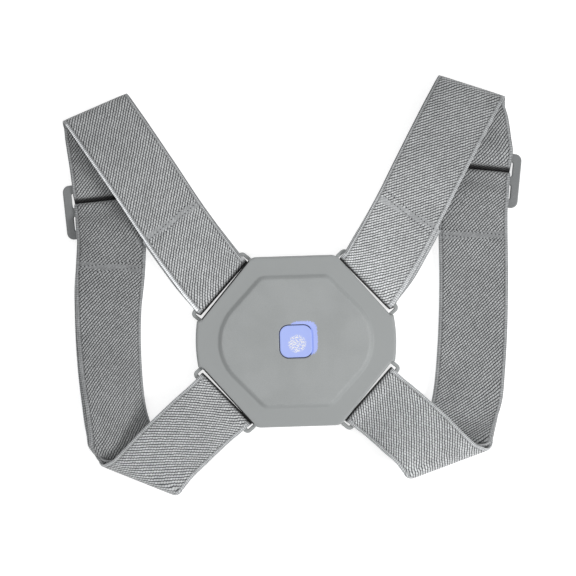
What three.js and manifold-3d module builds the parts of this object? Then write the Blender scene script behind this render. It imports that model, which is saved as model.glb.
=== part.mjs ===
// A posture corrector that lies face up: a flat sensing device with four strap bars, and two arm
// loops of elastic webbing, each adjusted by a three-bar slider on its back run.
// Millimetres, +Z up. The origin is the middle of the device's flat back, +Y points to the
// shoulders, +X to the right as one looks at the button.
import * as THREE from 'three';
import { mergeVertices } from 'three/addons/utils/BufferGeometryUtils.js';
import Module from 'manifold-3d';

const wasm = await Module();
wasm.setup();

// Device
const bodyWidth = 115.8; // across the two upright sides, before their bulge
const bodyHeight = 100.4; // from the top edge to the bottom edge
const sideBulge = 1.1;
const sideLength = 23.2; // length of each upright side
const topLength = 49.8; // length of the top edge and of the bottom edge
const cornerRadius = 7;
const plateThickness = 2.2;
const rimHeight = 11; // top of the rim above the flat back
const shellWall = 2;
const partingGap = 0.3; // between pieces that touch on the real thing
const edgeRound = 1.6;

// Raised plateau
const plateauWidth = 91.4;
const plateauHeight = 78;
const plateauTopLength = 40;
const plateauSlant = 46.5; // degrees between its slanted sides and the X axis
const plateauRise = 2;
const plateauBevel = 2.4;
const plateauCorner = 7;

// Power button
const buttonSide = 18.8;
const buttonCorner = 5.1;
const buttonGroove = 0.5;
const buttonFlange = 1.6; // how far the flange reaches past the cap
const flangeThickness = 1;
const buttonTravel = 0.6;
const postRadius = 4;

// Webbing
const webWidth = 40.6;
const webThickness = 1.4;
const layerGap = 0.3;
const webEdge = 0.35; // chamfer along the selvedges
const bendPlay = 0.35; // room where the webbing bends round a bar
const wrapSkew = 0.4; // how much of its skew the webbing keeps where it goes round a bar
const wrapSweep = 80; // degrees that the webbing turns to each side of a bar's middle line
const topFoldSweep = 75;
const bottomFoldStart = 62;
const floorGap = 0.1; // between the lowest webbing and the surface that it lies on

// Strap bars on the device
const slotLength = 44.2;
const slotOpening = 4.5;
const barWidth = 2.5;
const barHeight = 3;
const barMiddle = 5; // height of the bars' middle
const earWall = 2.2;
const earCorner = 3;
const slotCorner = 0.6;
const slotShift = 0.8; // slots sit this much nearer the top and bottom edges
const webShift = 0.2; // webbing pulled to the other end of its slot

// Sliders
const sliderBar = 5;
const sliderSlot = 8.5;
const sliderSide = 4.9;
const sliderPlay = 1.1; // beside each edge of the webbing
const sliderThickness = 2.4;
const sliderCorner = 4;
const overhang = 1; // flat webbing past the outer bars

// Seams
const upperSeam = 45; // from the strap bar to the seam that closes the upper end
const backSeam = 34; // from the slider's middle to the seam that closes the lower end
const seamLength = 4.6;
const seamInset = 2.4;
const seamBite = 0.5; // how deep the sewn patch reaches into its two layers
const seamLayer = webThickness + layerGap;
const tailPast = 1.2; // webbing past the last row of stitches
const frontStep = 6; // steps along the runs
const backStep = 5.5;

// Arm loops: places in millimetres from the device's middle, outwards and up, and turns in
// degrees by which a line across the webbing drops at its outer end. bow and bank say how far the
// lower back run bulges outwards and how steeply its outer edge rises, tailShift how far the sewn
// end in front sticks out beside the front layer.
const loops = {
  left: {
    mirror: 1,
    bow: 1.05,
    bank: 33,
    tailShift: 1,
    topFold: { out: 114.2, up: 141.5, turn: 21.7, radius: 4.2, open: 0.16, lift: 3.4 },
    slider: { out: 107.7, up: 81.6, turn: 4.3 },
    bottomFold: { out: 95.2, up: -78.2, turn: -23.6, radius: 6, height: 18 },
  },
  right: {
    mirror: -1,
    bow: 0.68,
    bank: 0,
    tailShift: 2.2,
    topFold: { out: 108.3, up: 147, turn: 19.7, radius: 5.6, open: 0.22, lift: 3.4 },
    slider: { out: 108.8, up: 93.2, turn: 7.3 },
    bottomFold: { out: 88.6, up: -74.4, turn: -18.8, radius: 6, height: 17 },
  },
};

// Sections of the webbing between its bars and folds. along is the share of the way between the
// two ends, aside the sideways offset in webbing widths, height is in millimetres above the
// straight line between the ends, offGround above the ground, turn the share of the change in
// turn, tilt the rise of the outer edge in degrees, part the distance to the layer inside.
const frontRows = [
  { along: 0.12, aside: 0.02, height: 0.8, turn: 0.05, tilt: 0 },
  { along: 0.34, aside: 0.03, height: 2.6, turn: 0.25, tilt: 4 },
  { along: 0.58, aside: 0.01, height: 4.4, turn: 0.5, tilt: 8 },
  { along: 0.82, aside: 0, height: 3, turn: 0.8, tilt: 6 },
  { along: 0.94, aside: 0, height: 0.8, turn: 1, tilt: 3 },
];
const upperBackRows = [
  { along: 0.25, height: 0, turn: 0.2 },
  { along: 0.6, height: -1.6, turn: 0.7 },
];
const lowerBackRows = [
  { along: 0.1, aside: 0.05, offGround: 3.2, turn: 0, bank: 0.15, part: 3.4 },
  { along: 0.32, aside: 0.16, offGround: 0.4, turn: 0.12, bank: 0.8, part: 2.4 },
  { along: 0.55, aside: 0.215, offGround: 0.4, turn: 0.3, bank: 1, part: 3.2 },
  { along: 0.76, aside: 0.2, offGround: 0.8, turn: 0.5, bank: 1.1, part: 4 },
  { along: 0.9, aside: 0.095, offGround: 3, turn: 0.8, bank: 0.8, part: 3.4 },
];
const lowerFrontRows = [
  { along: 0.2, aside: 0.02, height: 3, turn: 0.1, part: 2.2 },
  { along: 0.5, aside: 0.025, height: 2.6, turn: 0.45, part: 1.9 },
  { along: 0.78, aside: 0.015, height: 0.2, turn: 0.85, part: 2.9 },
  { along: 0.93, height: -0.7, turn: 1, part: 4.9 },
];

// Webbing through the slider's slots. inSlot is the share of the slot's length from the centre
// bar, height the share of the rise, layers how many layers of webbing it lies above the bars.
const slotRamp = [
  { inSlot: 0.18, height: 0.01 },
  { inSlot: 0.4, height: 0.13 },
  { inSlot: 0.6, height: 0.42 },
  { inSlot: 0.75, height: 0.77 },
];
const sewnOverRamp = [
  { inSlot: 1.3, layers: 2 },
  { inSlot: 1.12, layers: 2 },
  { inSlot: 0.76, layers: 1.94 },
  { inSlot: 0.35, layers: 1.05 },
  { inSlot: 0, layers: 0.1 },
  { inSlot: -0.3, layers: 0 },
];
const sewnUnderRamp = [
  { inSlot: -0.07, height: 0 },
  { inSlot: 0.16, height: 0.08 },
  { inSlot: 0.34, height: 0.33 },
  { inSlot: 0.52, height: 0.65 },
  { inSlot: 0.76, height: 0.92 },
  { inSlot: 0.93, height: 1 },
  { inSlot: 1.3, height: 1 },
];

const degree = Math.PI / 180;
const up = new THREE.Vector3(0, 0, 1);

// Solids

function solidOf(geometry) {
  const plain = new THREE.BufferGeometry();
  plain.setAttribute('position', geometry.getAttribute('position').clone());
  if (geometry.index) plain.setIndex(geometry.index.clone());
  const merged = mergeVertices(plain, 1e-4);
  const mesh = new wasm.Mesh({
    numProp: 3,
    vertProperties: new Float32Array(merged.getAttribute('position').array),
    triVerts: new Uint32Array(merged.index.array),
  });
  return new wasm.Manifold(mesh);
}

function geometryOf(solid) {
  const mesh = solid.getMesh();
  const geometry = new THREE.BufferGeometry();
  geometry.setAttribute('position', new THREE.BufferAttribute(mesh.vertProperties, 3));
  geometry.setIndex(new THREE.BufferAttribute(mesh.triVerts, 1));
  return geometry;
}

// Outline of straight sides and round corners: each corner is {x, y, r}
function roundedShape(corners, steps = 6) {
  const points = [];
  corners.forEach((corner, k) => {
    const before = corners[(k + corners.length - 1) % corners.length];
    const after = corners[(k + 1) % corners.length];
    const here = new THREE.Vector2(corner.x, corner.y);
    const back = new THREE.Vector2(before.x, before.y).sub(here).normalize();
    const ahead = new THREE.Vector2(after.x, after.y).sub(here).normalize();
    const half = Math.acos(THREE.MathUtils.clamp(back.dot(ahead), -1, 1)) / 2;
    if (corner.r < 1e-6) {
      points.push(here);
      return;
    }
    const middle = back.clone().add(ahead).normalize();
    const centre = here.clone().addScaledVector(middle, corner.r / Math.sin(half));
    const start = here.clone().addScaledVector(back, corner.r / Math.tan(half)).sub(centre);
    const end = here.clone().addScaledVector(ahead, corner.r / Math.tan(half)).sub(centre);
    const first = start.angle();
    let sweep = end.angle() - first;
    if (sweep > Math.PI) sweep -= 2 * Math.PI;
    if (sweep < -Math.PI) sweep += 2 * Math.PI;
    const count = Math.max(2, Math.round((steps * Math.abs(sweep)) / (Math.PI / 2)) + 1);
    for (let j = 0; j <= count; j += 1) {
      const angle = first + (sweep * j) / count;
      points.push(new THREE.Vector2(Math.cos(angle), Math.sin(angle)).multiplyScalar(corner.r).add(centre));
    }
  });
  return new THREE.Shape(points);
}

function prism(shape, bottom, top, bevel = 0, bevelSteps = 3) {
  // bevel rounds the upper and lower edges inwards
  const geometry = new THREE.ExtrudeGeometry(shape, {
    depth: top - bottom - 2 * bevel,
    bevelEnabled: bevel > 0,
    bevelThickness: bevel,
    bevelSize: bevel,
    bevelOffset: -bevel,
    bevelSegments: bevelSteps,
    curveSegments: 8,
  });
  geometry.translate(0, 0, bottom + bevel);
  return solidOf(geometry);
}

// Device outline, drawn in by an amount
function bodyOutline(inset) {
  const halfWidth = bodyWidth / 2 - inset;
  const halfHeight = bodyHeight / 2 - inset;
  const { normal, distance } = slantedSide();
  const reach = distance - inset;
  const topX = (reach - normal.y * halfHeight) / normal.x;
  const sideY = (reach - normal.x * halfWidth) / normal.y;
  const radius = Math.max(cornerRadius - inset, 1);
  const corners = [];
  [[1, 1], [-1, 1], [-1, -1], [1, -1]].forEach(([sx, sy], k) => {
    const pair = [
      { x: sx * halfWidth, y: sy * sideY, r: radius },
      { x: sx * topX, y: sy * halfHeight, r: radius },
    ];
    corners.push(...(k % 2 ? pair.reverse() : pair));
  });
  return { corners, halfWidth, sideY };
}

function slantedSide() {
  const from = new THREE.Vector2(topLength / 2, bodyHeight / 2);
  const to = new THREE.Vector2(bodyWidth / 2, sideLength / 2);
  const along = to.clone().sub(from).normalize();
  const normal = new THREE.Vector2(-along.y, along.x);
  const middle = from.clone().add(to).multiplyScalar(0.5);
  return { from, to, along, normal, distance: normal.dot(from), middle };
}

function bodyPrism(inset, bottom, top, bevel = 0) {
  const { corners } = bodyOutline(inset);
  return prism(roundedShape(corners), bottom, top, bevel).add(sideBulges(inset, bottom, top, bevel));
}

// Each upright side swells a little between its corners
function sideBulges(inset, bottom, top, bevel) {
  const { halfWidth, sideY } = bodyOutline(inset);
  const half = sideY + 2;
  const radius = (half * half + sideBulge * sideBulge) / (2 * sideBulge);
  const points = [];
  const spread = Math.asin(half / radius);
  for (let k = 0; k <= 10; k += 1) {
    const angle = -spread + (2 * spread * k) / 10;
    const x = halfWidth + sideBulge - radius + radius * Math.cos(angle);
    points.push(new THREE.Vector2(x, radius * Math.sin(angle)));
  }
  const inner = halfWidth - 6;
  points.push(new THREE.Vector2(inner, half), new THREE.Vector2(inner, -half));
  const right = prism(new THREE.Shape(points), bottom, top, bevel);
  return right.add(right.mirror([1, 0, 0]));
}

function plateauShape(inset) {
  const halfHeight = plateauHeight / 2 - inset;
  const slant = plateauSlant * degree;
  const topX = plateauTopLength / 2 - inset * Math.tan(slant / 2);
  const vertexX = topX + halfHeight / Math.tan(slant);
  const reach = plateauWidth / 2 - inset;
  const sideRadius = Math.max((vertexX - reach) / (1 / Math.sin(slant) - 1), 2);
  const corner = Math.max(plateauCorner - inset, 1);
  return roundedShape([
    { x: vertexX, y: 0, r: sideRadius },
    { x: topX, y: halfHeight, r: corner },
    { x: -topX, y: halfHeight, r: corner },
    { x: -vertexX, y: 0, r: sideRadius },
    { x: -topX, y: -halfHeight, r: corner },
    { x: topX, y: -halfHeight, r: corner },
  ], 10);
}

// A plateau whose sides slope in towards its top
function plateauSolid(inset, bottom, top, slope) {
  const wide = plateauShape(inset).getPoints();
  const narrow = plateauShape(inset + slope).getPoints();
  const positions = [];
  const count = wide.length;
  wide.forEach((p) => positions.push(p.x, p.y, bottom));
  wide.forEach((p) => positions.push(p.x, p.y, top - plateauRise));
  narrow.forEach((p) => positions.push(p.x, p.y, top));
  positions.push(0, 0, bottom, 0, 0, top);
  const index = [];
  for (let k = 0; k < count; k += 1) {
    const next = (k + 1) % count;
    for (let ring = 0; ring < 2; ring += 1) {
      const a = ring * count + k;
      const b = ring * count + next;
      index.push(a, b, b + count, a, b + count, a + count);
    }
    index.push(next, k, 3 * count, 2 * count + k, 2 * count + next, 3 * count + 1);
  }
  const geometry = new THREE.BufferGeometry();
  geometry.setAttribute('position', new THREE.Float32BufferAttribute(positions, 3));
  geometry.setIndex(index);
  return solidOf(geometry);
}

function squareShape(side, radius) {
  const half = side / 2;
  return roundedShape([
    { x: half, y: -half, r: radius },
    { x: half, y: half, r: radius },
    { x: -half, y: half, r: radius },
    { x: -half, y: -half, r: radius },
  ], 5);
}

// The four strap bars. Each lies along a slanted side, and this gives its middle, the direction
// along it and the direction outwards, for the corner on the side sx, sy.
function strapBar(sx, sy) {
  const side = slantedSide();
  const flip = (v) => new THREE.Vector2(v.x * sx, v.y * sy);
  const along = flip(side.along);
  const normal = flip(side.normal);
  const slotMiddle = flip(side.middle).addScaledVector(along, -slotShift);
  const middle = slotMiddle.clone().addScaledVector(normal, slotOpening + barWidth / 2);
  return { slotMiddle, middle, along, normal };
}

function rectangle(half, low, high, radius) {
  return roundedShape([
    { x: half, y: low, r: radius },
    { x: half, y: high, r: radius },
    { x: -half, y: high, r: radius },
    { x: -half, y: low, r: radius },
  ], 4);
}

function placeOnSide(solid, sx, sy) {
  const bar = strapBar(sx, sy);
  const along = new THREE.Vector3(bar.along.x, bar.along.y, 0);
  const normal = new THREE.Vector3(bar.normal.x, bar.normal.y, 0);
  if (new THREE.Vector3().crossVectors(along, normal).z < 0) along.negate();
  const matrix = new THREE.Matrix4().makeBasis(along, normal, up);
  matrix.setPosition(bar.slotMiddle.x, bar.slotMiddle.y, 0);
  return solid.transform(matrix.elements);
}

function buildShell() {
  const base = plateThickness + partingGap;
  const plateauTop = rimHeight + plateauRise;
  let shell = bodyPrism(0, base, rimHeight, edgeRound);
  shell = shell.add(bodyPrism(0, base, base + edgeRound * 1.5));
  shell = shell.add(plateauSolid(0, base + shellWall, plateauTop, plateauBevel));
  const reach = slotOpening + barWidth;
  const root = shellWall * 1.5;
  const ear = prism(rectangle(slotLength / 2 + earWall, -root, reach, earCorner),
    barMiddle - barHeight / 2, barMiddle + barHeight / 2, 0.5, 2);
  const slot = prism(rectangle(slotLength / 2, 0, slotOpening, slotCorner), base, rimHeight);
  for (const [sx, sy] of [[1, 1], [-1, 1], [-1, -1], [1, -1]]) {
    shell = shell.add(placeOnSide(ear, sx, sy));
    shell = shell.subtract(placeOnSide(slot, sx, sy));
  }
  shell = shell.subtract(bodyPrism(shellWall + 1, base - 1, rimHeight - shellWall));
  shell = shell.subtract(plateauSolid(plateauBevel + 1, base, plateauTop - shellWall, plateauBevel));
  return shell.subtract(prism(squareShape(buttonSide + 2 * buttonGroove, buttonCorner + buttonGroove),
    base, plateauTop + 1));
}

function buildBackPlate() {
  const flangeBottom = rimHeight + plateauRise - shellWall - partingGap - flangeThickness;
  const postTop = flangeBottom - buttonTravel - partingGap;
  const plate = bodyPrism(0, 0, plateThickness, 0.8);
  const post = solidOf(new THREE.CylinderGeometry(postRadius, postRadius + 1, postTop - 1, 20)
    .rotateX(Math.PI / 2).translate(0, 0, (postTop + 1) / 2));
  return plate.add(post);
}

function buildButton() {
  const top = rimHeight + plateauRise;
  const flangeTop = top - shellWall - partingGap;
  const cap = prism(squareShape(buttonSide, buttonCorner), flangeTop - flangeThickness / 2, top, 0.4, 2);
  const flange = prism(squareShape(buttonSide + 2 * buttonFlange, buttonCorner + buttonFlange),
    flangeTop - flangeThickness, flangeTop);
  return cap.add(flange);
}

// Slider in its own frame: x across the webbing, y along it, z its thickness
function buildSlider(loop) {
  const half = webWidth / 2 + sliderPlay;
  const reach = sliderReach();
  const frame = prism(rectangle(half + sliderSide, -reach, reach, sliderCorner),
    -sliderThickness / 2, sliderThickness / 2, 0.6, 2);
  const slotHigh = sliderBar / 2 + sliderSlot;
  const upper = prism(rectangle(half, sliderBar / 2, slotHigh, 1), -sliderThickness, sliderThickness);
  const lower = prism(rectangle(half, -slotHigh, -sliderBar / 2, 1), -sliderThickness, sliderThickness);
  const turn = -loop.slider.turn * degree;
  const matrix = new THREE.Matrix4().makeRotationZ(-turn);
  matrix.setPosition(-loop.slider.out, loop.slider.up, sliderMiddle());
  const solid = frame.subtract(upper).subtract(lower).transform(matrix.elements);
  return loop.mirror > 0 ? solid : solid.mirror([1, 0, 0]);
}

function sliderReach() {
  return sliderBar * 1.5 + sliderSlot;
}

// Height of the slider's middle: two layers of webbing pass under its centre bar
function sliderMiddle() {
  return floorGap + 2 * (webThickness + layerGap) + sliderThickness / 2;
}

// Webbing. A station is a place on the middle line of the webbing with the direction of the line
// across it, from the inner edge to the outer. Everything is laid out for the left arm, and the
// right arm is mirrored at the end.

function across(turn, tilt = 0) {
  const flat = Math.cos(tilt * degree);
  const rise = Math.sin(tilt * degree);
  return new THREE.Vector3(-Math.cos(turn * degree) * flat, -Math.sin(turn * degree) * flat, rise);
}

function station(place, ruling, part = 0) {
  return { place, ruling, part };
}

// Runs through the stations on a smooth curve, with a step every few millimetres
function smoothRun(stations, step) {
  const line = new THREE.CatmullRomCurve3(stations.map((s) => s.place), false, 'centripetal');
  const turns = new THREE.CatmullRomCurve3(stations.map((s) => s.ruling), false, 'catmullrom', 0.3);
  const result = [stations[0]];
  for (let k = 1; k < stations.length; k += 1) {
    const count = Math.max(1, Math.round(stations[k].place.distanceTo(stations[k - 1].place) / step));
    for (let j = 1; j <= count; j += 1) {
      const t = (k - 1 + j / count) / (stations.length - 1);
      const part = THREE.MathUtils.lerp(stations[k - 1].part, stations[k].part, smoothShare(j / count));
      result.push(station(line.getPoint(t), turns.getPoint(t).normalize(), part));
    }
  }
  return result;
}

function smoothShare(t) {
  return t * t * (3 - 2 * t);
}

// Direction of travel and outward normal at each station
function withNormals(stations) {
  return stations.map((s, k) => {
    const before = stations[Math.max(k - 1, 0)].place;
    const after = stations[Math.min(k + 1, stations.length - 1)].place;
    const travel = after.clone().sub(before).normalize();
    const normal = travel.clone().cross(s.ruling).normalize();
    const sine = travel.clone().cross(s.ruling).length();
    return { ...s, travel, normal, half: s.half ?? webWidth / 2 / Math.max(sine, 0.5) };
  });
}

// The layer that lies inside the given stations, walked the other way
function innerLayer(stations, distance) {
  return withNormals(stations).map((s) => {
    const gap = distance === undefined ? s.part : distance(s);
    return { ...station(s.place.clone().addScaledVector(s.normal, -gap), s.ruling), half: s.half };
  }).reverse();
}

// How far webbing that travels in a direction slips along the line of a fold, for each
// millimetre that it goes round
function slip(travel, ruling) {
  const share = travel.clone().normalize().dot(ruling);
  return share / Math.sqrt(1 - share * share);
}

// Half turn round a bar or fold: away is the direction in which the round bulges
function roundTurn({ middle, away, ruling, radius, from, to, steps, part = 0, slide = 0 }) {
  const list = [];
  for (let k = 0; k <= steps; k += 1) {
    const angle = THREE.MathUtils.lerp(from, to, k / steps) * degree;
    const place = middle.clone()
      .addScaledVector(away, radius * Math.cos(angle))
      .addScaledVector(up, radius * Math.sin(angle))
      .addScaledVector(ruling, slide * radius * angle * Math.sign(to - from));
    list.push(station(place, ruling.clone(), part));
  }
  return list;
}

// Rows of a table set between two stations; bow scales their sideways offset, and their bank is a
// share of the given one
function betweenRows(rows, start, end, startTurn, endTurn, bow = 1, fullBank = 0) {
  const way = end.place.clone().sub(start.place);
  const outwards = new THREE.Vector3(way.y, -way.x, 0).normalize();
  if (outwards.x > 0) outwards.negate();
  return rows.map(({ along, aside = 0, height = 0, offGround, turn, tilt = 0, bank = 0, part = 0 }) => {
    const rise = tilt + bank * fullBank;
    const place = start.place.clone()
      .addScaledVector(way, along)
      .addScaledVector(outwards, aside * bow * webWidth)
      .addScaledVector(up, height);
    if (offGround !== undefined) {
      place.z = onGround + offGround + (webWidth / 2) * Math.sin(rise * degree);
    }
    return station(place, across(THREE.MathUtils.lerp(startTurn, endTurn, turn), rise), part);
  });
}

function barPlace(sy) {
  const bar = strapBar(-1, sy);
  const along = new THREE.Vector3(bar.along.x, bar.along.y, 0);
  const place = new THREE.Vector3(bar.middle.x, bar.middle.y, barMiddle).addScaledVector(along, -webShift);
  const turn = Math.atan2(-along.y, -along.x) / degree;
  const outer = along.x < 0 ? along.clone() : along.clone().negate();
  return { place, outer, turn, outwards: new THREE.Vector3(bar.normal.x, bar.normal.y, 0) };
}

function turnOf(direction) {
  return Math.atan2(-direction.y, -direction.x) / degree;
}

const wrapRadius = Math.hypot(barWidth, barHeight) / 2 + webThickness / 2 + bendPlay;

function layWebbing(loop) {
  const upper = barPlace(1);
  const lower = barPlace(-1);
  const upperTurn = turnOf(upper.outer);
  const lowerTurn = turnOf(lower.outer);

  // the fold at the shoulder
  const top = loop.topFold;
  const topRuling = across(top.turn);
  const topAway = new THREE.Vector3(topRuling.y, -topRuling.x, 0);
  if (topAway.y < 0) topAway.negate();
  const topMiddle = new THREE.Vector3(-top.out, top.up, top.lift + top.radius + webThickness / 2)
    .addScaledVector(topAway, -top.radius - webThickness / 2);
  const topTurn = roundTurn({
    middle: topMiddle, away: topAway, ruling: topRuling,
    radius: top.radius, from: topFoldSweep, to: -topFoldSweep, steps: 10,
    slide: slip(topMiddle.clone().sub(upper.place).setZ(0), topRuling),
  });
  // round the upper bar, from below, on the device's side, to above
  const upperWrap = roundTurn({
    middle: upper.place, away: upper.outwards.clone().negate(), ruling: upper.outer,
    radius: wrapRadius, from: -wrapSweep, to: wrapSweep, steps: 8, part: 2 * wrapRadius,
    slide: wrapSkew * slip(topMiddle.clone().sub(upper.place).setZ(0), upper.outer),
  });
  topTurn.forEach((s, k) => {
    const share = 1 - (2 * k) / (topTurn.length - 1);
    s.ruling.z += top.open * 0.5 * share;
    s.ruling.normalize();
  });

  const upperEnd = upperWrap[upperWrap.length - 1];
  const front = [upperEnd, ...betweenRows(frontRows, upperEnd, topTurn[0], upperTurn, top.turn), topTurn[0]];

  // through the slider
  const onSlider = sliderFrame(loop);
  const adjust = adjustingRoute().map(([v, z]) => station(onSlider.at(v, z), onSlider.ruling.clone()));
  const foldEnd = topTurn[topTurn.length - 1];
  const upperBack = betweenRows(upperBackRows, foldEnd, adjust[0], top.turn, loop.slider.turn);

  // the fold at the bottom, open enough for two layers
  const bottom = loop.bottomFold;
  const bottomRuling = across(bottom.turn);
  const bottomAway = new THREE.Vector3(bottomRuling.y, -bottomRuling.x, 0);
  if (bottomAway.y > 0) bottomAway.negate();
  const bottomMiddle = new THREE.Vector3(-bottom.out, bottom.up, bottom.height)
    .addScaledVector(bottomAway, -bottom.radius - webThickness / 2);
  const bottomTurn = roundTurn({
    middle: bottomMiddle, away: bottomAway, ruling: bottomRuling,
    radius: bottom.radius, from: -bottomFoldStart, to: wrapSweep, steps: 10, part: 3,
    slide: slip(lower.place.clone().sub(bottomMiddle).setZ(0), bottomRuling),
  });
  const lowerWrap = roundTurn({
    middle: lower.place, away: lower.outwards.clone().negate(), ruling: lower.outer,
    radius: wrapRadius, from: wrapSweep, to: -wrapSweep, steps: 8, part: 2 * wrapRadius,
    slide: wrapSkew * slip(lower.place.clone().sub(bottomMiddle).setZ(0), lower.outer),
  });
  const sliderEnd = adjust[adjust.length - 1];
  sliderEnd.part = 2 * seamLayer;
  const lowerBack = betweenRows(lowerBackRows, sliderEnd, bottomTurn[0], loop.slider.turn, bottom.turn,
    loop.bow, loop.bank);
  const lowerFront = betweenRows(lowerFrontRows, bottomTurn[bottomTurn.length - 1], lowerWrap[0],
    bottom.turn, lowerTurn);

  return {
    upperWrap, front, topTurn, upperBack, adjust, lowerBack, bottomTurn, lowerFront, lowerWrap, onSlider,
  };
}

function sliderFrame(loop) {
  const ruling = across(loop.slider.turn);
  const along = new THREE.Vector3(ruling.y, -ruling.x, 0);
  if (along.y < 0) along.negate();
  const middle = new THREE.Vector3(-loop.slider.out, loop.slider.up, 0);
  return { ruling, along, at: (v, z) => middle.clone().addScaledVector(along, v).setZ(z) };
}

// Heights of the webbing's middle line at the slider
const bareOver = sliderMiddle() + sliderThickness / 2 + webThickness / 2 + bendPlay;
const bareUnder = sliderMiddle() - sliderThickness / 2 - webThickness / 2 - bendPlay;
const onGround = floorGap + webThickness / 2;

// Over the top bar, under the centre bar, over the bottom bar
function adjustingRoute() {
  const outer = sliderReach();
  const rise = bareOver - onGround;
  return [
    ...[outer + overhang, outer - sliderBar / 2, outer - sliderBar - 0.4].map((v) => [v, bareOver]),
    ...slotRamp.map((row) => [sliderBar / 2 + row.inSlot * sliderSlot, onGround + row.height * rise]).reverse(),
    ...[sliderBar / 2, 0, -sliderBar / 2].map((v) => [v, onGround]),
    ...slotRamp.map((row) => [-sliderBar / 2 - row.inSlot * sliderSlot, onGround + row.height * rise]),
    ...[-outer + sliderBar + 0.4, -outer + sliderBar / 2, -outer - overhang].map((v) => [v, bareOver]),
  ];
}

// The sewn end: over the bottom and centre bars, round the centre bar and back
function sewnRoute() {
  const outer = sliderReach();
  const radius = (bareOver - bareUnder) / 2;
  const bend = sliderBar / 2 - 0.6;
  const along = (inSlot) => -sliderBar / 2 - inSlot * sliderSlot;
  const list = [[-outer - overhang, bareOver + 2 * seamLayer - 0.1]];
  sewnOverRamp.forEach(({ inSlot, layers }) => list.push([along(inSlot), bareOver + layers * seamLayer]));
  for (let angle = 90; angle >= -90; angle -= 22.5) {
    list.push([bend + radius * Math.cos(angle * degree), sliderMiddle() + radius * Math.sin(angle * degree)]);
  }
  sewnUnderRamp.forEach(({ inSlot, height }) => {
    list.push([along(inSlot), THREE.MathUtils.lerp(bareUnder, bareOver + seamLayer, height)]);
  });
  list.push([-outer - overhang, bareOver + seamLayer - 0.1]);
  return list;
}

// A closed band of webbing along the stations
function band(stations, thickness = webThickness, inset = 0) {
  const rings = withNormals(stations);
  const half = thickness / 2;
  const edge = Math.min(webEdge, thickness / 3);
  const positions = [];
  for (const s of rings) {
    const reach = s.half - inset;
    const corners = [
      [reach, half - edge], [reach - edge, half], [-reach + edge, half], [-reach, half - edge],
      [-reach, -half + edge], [-reach + edge, -half], [reach - edge, -half], [reach, -half + edge],
    ];
    for (const [a, b] of corners) {
      const p = s.place.clone().addScaledVector(s.ruling, a).addScaledVector(s.normal, b);
      positions.push(p.x, p.y, p.z);
    }
  }
  const size = 8;
  const index = [];
  for (let k = 0; k + 1 < rings.length; k += 1) {
    for (let j = 0; j < size; j += 1) {
      const a = k * size + j;
      const b = k * size + ((j + 1) % size);
      index.push(a, b, b + size, a, b + size, a + size);
    }
  }
  const last = (rings.length - 1) * size;
  for (let j = 1; j + 1 < size; j += 1) {
    index.push(0, j + 1, j, last, last + j, last + j + 1);
  }
  const geometry = new THREE.BufferGeometry();
  geometry.setAttribute('position', new THREE.Float32BufferAttribute(positions, 3));
  geometry.setIndex(index);
  let solid = solidOf(geometry);
  if (solid.volume() < 0) {
    for (let k = 0; k < index.length; k += 3) [index[k], index[k + 1]] = [index[k + 1], index[k]];
    geometry.setIndex(index);
    solid = solidOf(geometry);
  }
  return solid;
}

function lengths(stations) {
  const list = [0];
  for (let k = 1; k < stations.length; k += 1) {
    list.push(list[k - 1] + stations[k].place.distanceTo(stations[k - 1].place));
  }
  return list;
}

// The stations between two distances along a run, with one set exactly at each end
function stretch(stations, from, to) {
  const down = lengths(stations);
  const at = (distance) => {
    const k = Math.max(1, down.findIndex((value) => value >= distance));
    const share = (distance - down[k - 1]) / (down[k] - down[k - 1]);
    const [a, b] = [stations[k - 1], stations[k]];
    const part = THREE.MathUtils.lerp(a.part, b.part, share);
    const ruling = a.ruling.clone().lerp(b.ruling, share).normalize();
    return station(a.place.clone().lerp(b.place, share), ruling, part);
  };
  const inside = stations.filter((s, k) => down[k] > from + 0.5 && down[k] < to - 0.5);
  return [at(from), ...inside, at(to)];
}

function buildStrap(loop) {
  const lay = layWebbing(loop);
  const front = smoothRun(lay.front, frontStep);

  // the tail under the front layer, from the bar to the seam
  const settle = upperSeam * 0.55;
  const tail = innerLayer(stretch(front, 0, upperSeam + seamLength / 2 + tailPast), (s) => {
    const way = Math.min(s.place.distanceTo(front[0].place) / settle, 1);
    return THREE.MathUtils.lerp(2 * wrapRadius, seamLayer, smoothShare(way));
  });
  tail.forEach((s) => {
    const way = Math.min(s.place.distanceTo(front[0].place) / upperSeam, 1);
    s.place.addScaledVector(s.ruling, loop.tailShift * smoothShare(Math.min(2 * way, 1)));
  });

  const backRun = smoothRun([lay.topTurn[lay.topTurn.length - 1], ...lay.upperBack, ...lay.adjust], backStep);
  const outerDown = smoothRun([lay.adjust[lay.adjust.length - 1], ...lay.lowerBack, ...lay.bottomTurn,
    ...lay.lowerFront, lay.lowerWrap[0]], backStep);
  const innerUp = innerLayer(outerDown.slice(1, -1));

  // the sewn end comes back under the inner layer
  const sewn = sewnRoute().map(([v, z]) => station(lay.onSlider.at(v, z), lay.onSlider.ruling.clone()));
  const seamDown = backSeam - sliderReach() - overhang;
  const sewnTail = innerLayer(stretch(outerDown, 2, seamDown + seamLength / 2 + tailPast), () => seamLayer);

  const path = [
    ...tail.slice(0, -1), ...lay.upperWrap.slice(0, -1), ...front, ...lay.topTurn.slice(1, -1),
    ...backRun, ...outerDown.slice(1), ...lay.lowerWrap.slice(1), ...innerUp, ...sewn, ...sewnTail.reverse(),
  ];
  const solid = band(path)
    .add(seamBlock(front, upperSeam, seamLayer / 2))
    .add(seamBlock(outerDown, seamDown, seamLayer * 1.5));
  return loop.mirror > 0 ? solid : solid.mirror([1, 0, 0]);
}

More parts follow.
